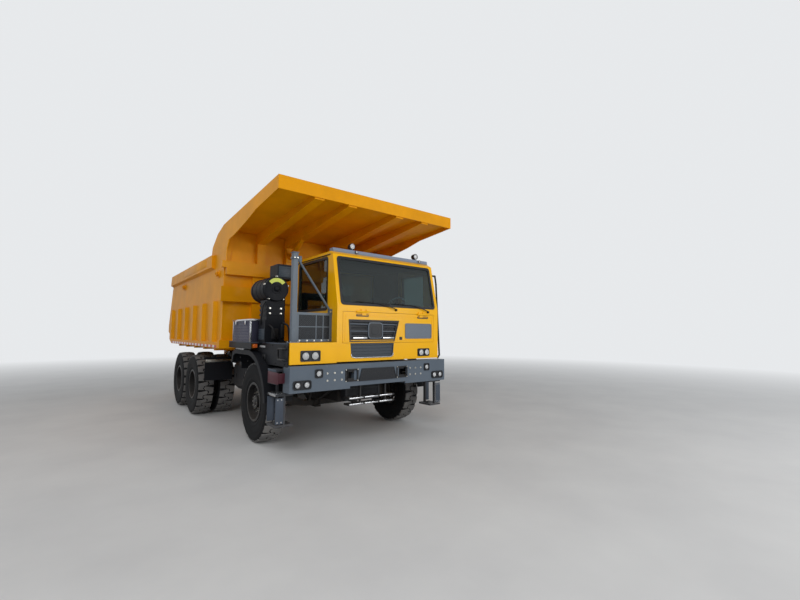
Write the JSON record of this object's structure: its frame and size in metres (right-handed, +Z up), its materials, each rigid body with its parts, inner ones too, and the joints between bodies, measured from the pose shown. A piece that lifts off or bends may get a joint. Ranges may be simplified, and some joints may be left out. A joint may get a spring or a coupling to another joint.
{
  "type": "mining dump truck",
  "caption": "Rigid mining dump truck with an offset cab, twin rear wheels, a ribbed tipping bed and a canopy that reaches over the cab.",
  "frame": {"origin": "on the ground, under the middle of the truck's whole box", "axes": "+X to the truck's left, +Y to its rear, +Z up"},
  "size_m": [3.855, 8.524, 4.286],
  "materials": {
    "cab_yellow": "gloss paint",
    "bed_orange": "satin paint",
    "chassis_black": "satin paint",
    "axle_iron": "painted casting",
    "bumper_grey": "satin paint",
    "tow_black": "satin paint",
    "tyre_rubber": "matte",
    "wheel_black": "satin paint",
    "tread_plate": "raised pattern",
    "guard_rubber": "matte",
    "glass": "tinted",
    "grille_black": "satin",
    "dash_grey": "matte",
    "seat_cloth": "woven",
    "lamp_lens": "clear",
    "rod_chrome": "polished"
  },
  "bodies": {
    "chassis": {"frame": "chassis_black", "outriggers": "chassis_black", "bumper": "bumper_grey", "front_step": "tow_black", "tow_brackets": "tow_black", "front_axle": "axle_iron", "front_springs": "axle_iron", "rear_axles": "axle_iron", "rear_springs": "axle_iron", "engine": "axle_iron", "radiator": "chassis_black", "driveline": "axle_iron", "side_tanks": "chassis_black", "deck": "chassis_black", "corner_panel": "cab_yellow", "guard_post": "bumper_grey", "air_cleaner": "chassis_black", "battery_box": "tread_plate", "mudguards": "guard_rubber", "steps": "bumper_grey", "grab_rail": "tow_black", "cab_shell": "cab_yellow", "cab_roof": "cab_yellow", "windscreen": "glass", "cab_windows": "glass", "dashboard": "dash_grey", "seats": "seat_cloth", "light_bar": "bumper_grey", "lamps": "lamp_lens"},
    "knuckle_left": {"knuckle_left": "axle_iron"},
    "knuckle_right": {"knuckle_right": "axle_iron"},
    "tie_rod": {"tie_rod": "axle_iron"},
    "wheel_front_left": {"front_tyre_left": "tyre_rubber", "front_wheel_left": "wheel_black"},
    "wheel_front_right": {"front_tyre_right": "tyre_rubber", "front_wheel_right": "wheel_black"},
    "wheels_rear_1_left": {"tyres_1_left": "tyre_rubber", "wheels_1_left": "wheel_black"},
    "wheels_rear_1_right": {"tyres_1_right": "tyre_rubber", "wheels_1_right": "wheel_black"},
    "wheels_rear_2_left": {"tyres_2_left": "tyre_rubber", "wheels_2_left": "wheel_black"},
    "wheels_rear_2_right": {"tyres_2_right": "tyre_rubber", "wheels_2_right": "wheel_black"},
    "door": {"cab_door": "cab_yellow", "door_glass": "glass"},
    "flap": {"front_flap": "cab_yellow", "grille": "grille_black"},
    "bed": {"bed_floor": "bed_orange", "bed_sides": "bed_orange", "lift_eyes": "bed_orange", "bed_front": "bed_orange", "canopy": "bed_orange", "canopy_ribs": "bed_orange"},
    "hoist_barrels": {"hoist_barrels": "chassis_black"},
    "hoist_rods": {"hoist_rods": "rod_chrome"}
  },
  "joints": [
    {"name": "steer_left", "type": "hinge", "parent": "chassis", "child": "knuckle_left", "pos_m": [1.11, -2.788, 0.685], "axis": [0, 0, 1], "range_deg": [-30, 30]},
    {"name": "steer_right", "type": "hinge", "parent": "chassis", "child": "knuckle_right", "pos_m": [-1.11, -2.788, 0.685], "axis": [0, 0, 1], "range_deg": [-30, 30]},
    {"name": "tie_rod_swing", "type": "hinge", "parent": "knuckle_left", "child": "tie_rod", "pos_m": [1.11, -2.558, 0.52], "axis": [0, 0, 1], "range_deg": [-30, 30]},
    {"name": "spin_front_left", "type": "hinge", "parent": "knuckle_left", "child": "wheel_front_left", "pos_m": [1.46, -2.788, 0.685], "axis": [1, 0, 0], "continuous": true},
    {"name": "spin_front_right", "type": "hinge", "parent": "knuckle_right", "child": "wheel_front_right", "pos_m": [-1.46, -2.788, 0.685], "axis": [1, 0, 0], "continuous": true},
    {"name": "spin_rear_1_left", "type": "hinge", "parent": "chassis", "child": "wheels_rear_1_left", "pos_m": [1.515, 0.562, 0.685], "axis": [1, 0, 0], "continuous": true},
    {"name": "spin_rear_1_right", "type": "hinge", "parent": "chassis", "child": "wheels_rear_1_right", "pos_m": [-1.515, 0.562, 0.685], "axis": [1, 0, 0], "continuous": true},
    {"name": "spin_rear_2_left", "type": "hinge", "parent": "chassis", "child": "wheels_rear_2_left", "pos_m": [1.515, 2.062, 0.685], "axis": [1, 0, 0], "continuous": true},
    {"name": "spin_rear_2_right", "type": "hinge", "parent": "chassis", "child": "wheels_rear_2_right", "pos_m": [-1.515, 2.062, 0.685], "axis": [1, 0, 0], "continuous": true},
    {"name": "door_swing", "type": "hinge", "parent": "chassis", "child": "door", "pos_m": [1.512, -3.911, 2.3], "axis": [0, 0, -1], "range_deg": [0, 70]},
    {"name": "flap_lift", "type": "hinge", "parent": "chassis", "child": "flap", "pos_m": [0.355, -4.2, 2.253], "axis": [-1, 0, 0], "range_deg": [0, 70]},
    {"name": "bed_tip", "type": "hinge", "parent": "chassis", "child": "bed", "pos_m": [0, 3.062, 1.28], "axis": [-1, 0, 0], "range_deg": [0, 45]},
    {"name": "hoist_swing", "type": "hinge", "parent": "chassis", "child": "hoist_barrels", "pos_m": [0.82, -0.638, 0.85], "axis": [1, 0, 0], "range_deg": [0, 16.5]},
    {"name": "hoist_stroke", "type": "slide", "parent": "hoist_barrels", "child": "hoist_rods", "axis": [0, 0.9666, 0.2562], "range_m": [0, 0.935]}
  ],
  "couplings": [
    {"joint": "steer_right", "follows": "steer_left", "ratio": 1},
    {"joint": "tie_rod_swing", "follows": "steer_left", "ratio": -1},
    {"joint": "hoist_swing", "follows": "bed_tip", "ratio": 0.3592},
    {"joint": "hoist_stroke", "follows": "bed_tip", "m_per_rad": 1.1836}
  ]
}
